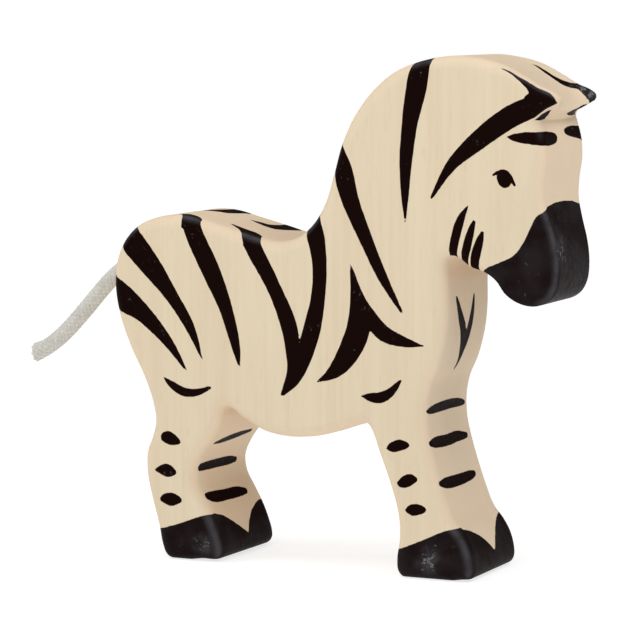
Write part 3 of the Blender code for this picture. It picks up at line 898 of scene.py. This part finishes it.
class Nodes:
    """A new material, and short calls that add nodes to it."""

    def __init__(self, name):
        self.material = bpy.data.materials.new(name)
        self.material.use_nodes = True
        self.tree = self.material.node_tree
        self.shader = self.tree.nodes["Principled BSDF"]

    def put(self, socket, value):
        if isinstance(value, bpy.types.NodeSocket):
            self.tree.links.new(value, socket)
        else:
            socket.default_value = value

    def math(self, operation, *values):
        node = self.tree.nodes.new("ShaderNodeMath")
        node.operation = operation
        for socket, value in zip(node.inputs, values):
            self.put(socket, value)
        return node.outputs[0]

    def place(self, scale):
        """The object's own coordinates, times a scale for each axis, per metre."""
        source = self.tree.nodes.new("ShaderNodeTexCoord").outputs["Object"]
        mapping = self.tree.nodes.new("ShaderNodeMapping")
        self.put(mapping.inputs["Vector"], source)
        mapping.inputs["Scale"].default_value = scale
        return mapping.outputs[0]

    def noise(self, scale, detail=2.0, rough=0.5, warp=0.0):
        node = self.tree.nodes.new("ShaderNodeTexNoise")
        self.put(node.inputs["Vector"], self.place(scale))
        node.inputs["Scale"].default_value = 1.0
        node.inputs["Detail"].default_value = detail
        node.inputs["Roughness"].default_value = rough
        node.inputs["Distortion"].default_value = warp
        return node.outputs["Fac"]

    def range(self, value, low, high, to_low=0.0, to_high=1.0, smooth=True):
        """A value from low to high, stretched to another range and kept inside it."""
        node = self.tree.nodes.new("ShaderNodeMapRange")
        node.interpolation_type = "SMOOTHSTEP" if smooth else "LINEAR"
        self.put(node.inputs["Value"], value)
        node.inputs["From Min"].default_value = low
        node.inputs["From Max"].default_value = high
        node.inputs["To Min"].default_value = to_low
        node.inputs["To Max"].default_value = to_high
        return node.outputs["Result"]

    def mix(self, share, one, other, blend="MIX"):
        node = self.tree.nodes.new("ShaderNodeMix")
        node.data_type = "RGBA"
        node.blend_type = blend
        self.put(node.inputs["Factor"], share)
        self.put(node.inputs[6], one)
        self.put(node.inputs[7], other)
        return node.outputs[2]

    def attribute(self, name):
        node = self.tree.nodes.new("ShaderNodeAttribute")
        node.attribute_name = name
        return node.outputs["Fac"]

    def bump(self, height, depth, strength=1.0, normal=None):
        node = self.tree.nodes.new("ShaderNodeBump")
        node.inputs["Distance"].default_value = depth
        node.inputs["Strength"].default_value = strength
        self.put(node.inputs["Height"], height)
        if normal is not None:
            self.put(node.inputs["Normal"], normal)
        return node.outputs["Normal"]


WOOD_PALE = (0.750, 0.640, 0.465, 1.0)
WOOD_WARM = (0.715, 0.590, 0.420, 1.0)
WOOD_EDGE = (0.760, 0.600, 0.440, 1.0)
WOOD_PORE = (0.560, 0.430, 0.290, 1.0)
PAINT_BLACK = (0.0074, 0.0024, 0.0018, 1.0)
# The colour of dusty and smudged paint, and also of the painted sheen on rounded edges
PAINT_WORN_AND_SHEEN = (0.0560, 0.0535, 0.0600, 1.0)
PAINT_CHALK = (0.150, 0.150, 0.155, 1.0)
PAINT_BORDER = 0.07            # half the blur of the paint's border, in drawn millimetres
WOOD_ROUGHNESS = (0.56, 0.68)
PAINT_ROUGHNESS = (0.36, 0.50)
WOOD_SPECULAR = 0.015
GRAIN_DEPTH = 0.00008
COAT_DEPTH = 0.00004


def painted_wood():
    """Fine pale wood with upright grain, satin black paint where the strokes are, and a painted
    sheen on the paint along rounded edges.
    """
    n = Nodes("painted wood")
    streaks = n.noise((620.0, 620.0, 22.0), detail=3.0, rough=0.55)
    bands = n.noise((120.0, 120.0, 7.0), warp=0.3)
    clouds = n.noise((28.0, 28.0, 16.0))
    pores = n.range(n.noise((2300.0, 2300.0, 150.0), detail=1.0), 0.66, 0.76)
    tone = n.math("MULTIPLY_ADD", streaks, 0.45, n.math("MULTIPLY", bands, 0.55))
    wood = n.mix(n.range(tone, 0.36, 0.66), WOOD_PALE, WOOD_WARM)
    wood = n.mix(n.range(clouds, 0.35, 0.75, 0.0, 0.35), wood, WOOD_WARM)
    wood = n.mix(n.math("MULTIPLY", n.attribute("edge"), 0.75), wood, WOOD_EDGE)
    wood = n.mix(n.math("MULTIPLY", pores, 0.22), wood, WOOD_PORE)
    ragged = n.math("SUBTRACT", n.noise((900.0, 900.0, 260.0)), 0.5)
    depth = n.math("MULTIPLY_ADD", ragged, 0.30, n.attribute("paint"))
    paint = n.range(depth, -PAINT_BORDER, PAINT_BORDER)
    smudge = n.attribute("smudge")
    rub = n.noise((700.0, 700.0, 700.0), detail=4.0, rough=0.7)
    specks = n.range(n.math("MULTIPLY_ADD", smudge, 0.10, rub), 0.62, 0.72)
    where = n.range(n.noise((85.0, 85.0, 85.0), detail=1.0), 0.50, 0.66)
    where = n.math("MAXIMUM", n.math("MULTIPLY", where, 0.5), smudge)
    chalk = n.math("MULTIPLY", specks, where)
    hazy = n.noise((330.0, 330.0, 240.0), detail=3.0, rough=0.6)
    haze = n.range(hazy, 0.35, 0.68, 0.15, 0.75)
    dust = n.range(n.noise((120.0, 120.0, 120.0)), 0.3, 0.7, 0.05, 0.22)
    black = n.mix(n.math("MULTIPLY", n.attribute("dusty"), dust), PAINT_BLACK, PAINT_WORN_AND_SHEEN)
    black = n.mix(n.math("MULTIPLY", smudge, haze), black, PAINT_WORN_AND_SHEEN)
    # Painted sheen: along rounded edges that face up, and forward on hooves and muzzle, the paint
    # is lightened in patches as a painted highlight
    sheen_patches = n.range(n.noise((210.0, 210.0, 210.0), detail=3.0), 0.35, 0.65, 0.6, 1.0)
    black = n.mix(n.math("MULTIPLY", n.attribute("painted_sheen"), sheen_patches), black, PAINT_WORN_AND_SHEEN)
    black = n.mix(chalk, black, PAINT_CHALK)
    n.put(n.shader.inputs["Base Color"], n.mix(paint, wood, black))
    rough_wood = n.range(streaks, 0.3, 0.7, *WOOD_ROUGHNESS, smooth=False)
    brushed = n.noise((500.0, 500.0, 500.0), detail=3.0)
    rough_paint = n.range(brushed, 0.3, 0.7, *PAINT_ROUGHNESS, smooth=False)
    rough = n.tree.nodes.new("ShaderNodeMix")
    n.put(rough.inputs[0], paint)
    n.put(rough.inputs[2], rough_wood)
    n.put(rough.inputs[3], rough_paint)
    n.put(n.shader.inputs["Roughness"], rough.outputs[0])
    n.shader.inputs["Specular IOR Level"].default_value = WOOD_SPECULAR
    relief = n.math("ADD", streaks, n.math("MULTIPLY", pores, -0.5))
    grain = n.bump(relief, GRAIN_DEPTH, strength=0.5)
    coat = n.bump(paint, COAT_DEPTH, strength=0.6, normal=grain)
    n.put(n.shader.inputs["Normal"], coat)
    return n.material


COTTON_LIGHT = (0.640, 0.630, 0.580, 1.0)
COTTON_DARK = (0.490, 0.475, 0.420, 1.0)
FIBRE_DEPTH = 0.00006


def braided_cotton():
    """Undyed cotton with fine fibres, a little different from strand to strand, with painted shade
    where strands dip under others and on the core between them.
    """
    n = Nodes("braided cotton")
    fibres = n.noise((5200.0, 5200.0, 5200.0), detail=3.0, rough=0.6)
    soil = n.noise((260.0, 260.0, 260.0))
    # the strand's own tone and the painted shade at crossings and on the core
    share = n.math("MULTIPLY_ADD", fibres, 0.3, n.math("MULTIPLY", n.attribute("tint_and_shade"), 0.5))
    color = n.mix(n.range(share, 0.1, 0.75), COTTON_LIGHT, COTTON_DARK)
    color = n.mix(n.range(soil, 0.4, 0.8, 0.0, 0.3), color, COTTON_DARK)
    n.put(n.shader.inputs["Base Color"], color)
    n.shader.inputs["Roughness"].default_value = 0.92
    n.shader.inputs["Specular IOR Level"].default_value = 0.2
    n.shader.inputs["Sheen Weight"].default_value = 0.2
    n.shader.inputs["Sheen Roughness"].default_value = 0.5
    n.put(n.shader.inputs["Normal"], n.bump(fibres, FIBRE_DEPTH, strength=0.35))
    return n.material


FLOOR_SIZE = 14.0
FLOOR_PALE = (0.42, 0.42, 0.42, 1.0)
FLOOR_GLOW = (0.74, 0.95)      # near the object, and far from it
FLOOR_FADE = (0.25, 1.30)      # metres from the object where the glow grows


def build_floor():
    """A wide pale floor under the object, lit from below as a light table is."""
    bpy.ops.mesh.primitive_plane_add(size=FLOOR_SIZE, location=(0.0, 0.0, 0.0))
    floor = bpy.context.object
    floor.name = "floor"
    n = Nodes("pale floor")
    away = n.tree.nodes.new("ShaderNodeVectorMath")
    away.operation = "LENGTH"
    n.put(away.inputs[0], n.place((1.0, 1.0, 1.0)))
    n.shader.inputs["Base Color"].default_value = FLOOR_PALE
    n.shader.inputs["Roughness"].default_value = 0.9
    n.shader.inputs["Specular IOR Level"].default_value = 0.0
    n.shader.inputs["Emission Color"].default_value = (1.0, 1.0, 1.0, 1.0)
    glow = n.range(away.outputs["Value"], *FLOOR_FADE, *FLOOR_GLOW)
    n.put(n.shader.inputs["Emission Strength"], glow)
    floor.data.materials.append(n.material)


# Soft boxes round the object: (azimuth and elevation in degrees, distance and size in metres,
# power in watts). Azimuth 0 is at the right flank, and 90 in front
LIGHTS = {
    "key": (-68.0, 46.0, 1.1, 0.5, 5.5),
    "fill": (10.0, 34.0, 0.85, 0.6, 2.45),
    "front": (86.0, 52.0, 1.1, 0.7, 5.8),
}
WORLD_SHARE = 0.12             # of the world's brightness that it gives as light


def area_light(name, azimuth, elevation, distance, size, power):
    """A soft box turned to the object."""
    light = bpy.data.lights.new(name, "AREA")
    light.size = size
    light.energy = power
    made = bpy.data.objects.new(name, light)
    a, e = math.radians(azimuth), math.radians(elevation)
    away = Vector((math.sin(a) * math.cos(e), -math.cos(a) * math.cos(e), math.sin(e)))
    aim = Vector((0.0, 0.0, DRAWN_HEIGHT * UNIT / 2))
    made.location = aim + distance * away
    made.rotation_euler = (-away).to_track_quat("-Z", "Y").to_euler()
    bpy.context.scene.collection.objects.link(made)


def build_light():
    for name, setting in LIGHTS.items():
        area_light(name, *setting)
    world = bpy.data.worlds.new("studio")
    world.use_nodes = True
    tree = world.node_tree
    background = tree.nodes["Background"]
    background.inputs["Color"].default_value = (1.0, 1.0, 1.0, 1.0)
    seen = tree.nodes.new("ShaderNodeLightPath").outputs["Is Camera Ray"]
    strength = tree.nodes.new("ShaderNodeMapRange")
    tree.links.new(seen, strength.inputs["Value"])
    strength.inputs["To Min"].default_value = WORLD_SHARE
    strength.inputs["To Max"].default_value = 1.0
    tree.links.new(strength.outputs["Result"], background.inputs["Strength"])
    bpy.context.scene.world = world
    bpy.context.scene.view_settings.view_transform = "Standard"


def build_camera():
    data = bpy.data.cameras.new("camera")
    data.lens = CAMERA_LENS
    data.sensor_width = SENSOR
    data.clip_start = 0.05
    data.clip_end = 50.0
    camera = bpy.data.objects.new("camera", data)
    camera.location = CAMERA_AT
    look = Vector(CAMERA_LOOKS_AT) - Vector(CAMERA_AT)
    camera.rotation_euler = look.to_track_quat("-Z", "Y").to_euler()
    bpy.context.scene.collection.objects.link(camera)
    bpy.context.scene.camera = camera


def main():
    build_camera()
    outline = Outline()
    tail, line, mouth = build_tail(outline)
    tail.data.materials.append(braided_cotton())
    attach(tail, "root")
    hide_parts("tail")
    body = build_body(outline)
    body.data.materials.clear()
    body.data.materials.append(painted_wood())
    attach(body, "root")
    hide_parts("body")
    build_floor()
    build_light()


main()
